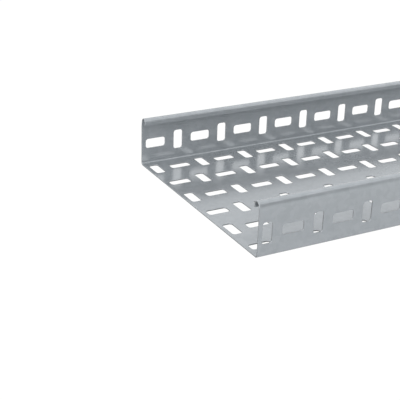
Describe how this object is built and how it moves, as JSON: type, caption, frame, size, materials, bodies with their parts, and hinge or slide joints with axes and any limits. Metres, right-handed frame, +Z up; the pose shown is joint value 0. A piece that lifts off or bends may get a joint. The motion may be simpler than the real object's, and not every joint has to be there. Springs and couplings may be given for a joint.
{
  "type": "cable tray",
  "caption": "Straight length of perforated steel cable tray: flat slotted floor, two slotted upright flanges and inward curled top lips.",
  "frame": {"origin": "middle of the tray's underside, halfway along its length and across its width", "axes": "+X along the tray, +Y across it, +Z up out of the open side"},
  "size_m": [1, 0.225, 0.05],
  "materials": {
    "galvanised_steel": "galvanised, dull satin with soft reflections"
  },
  "bodies": {
    "root": {"tray": "galvanised_steel"}
  },
  "joints": []
}
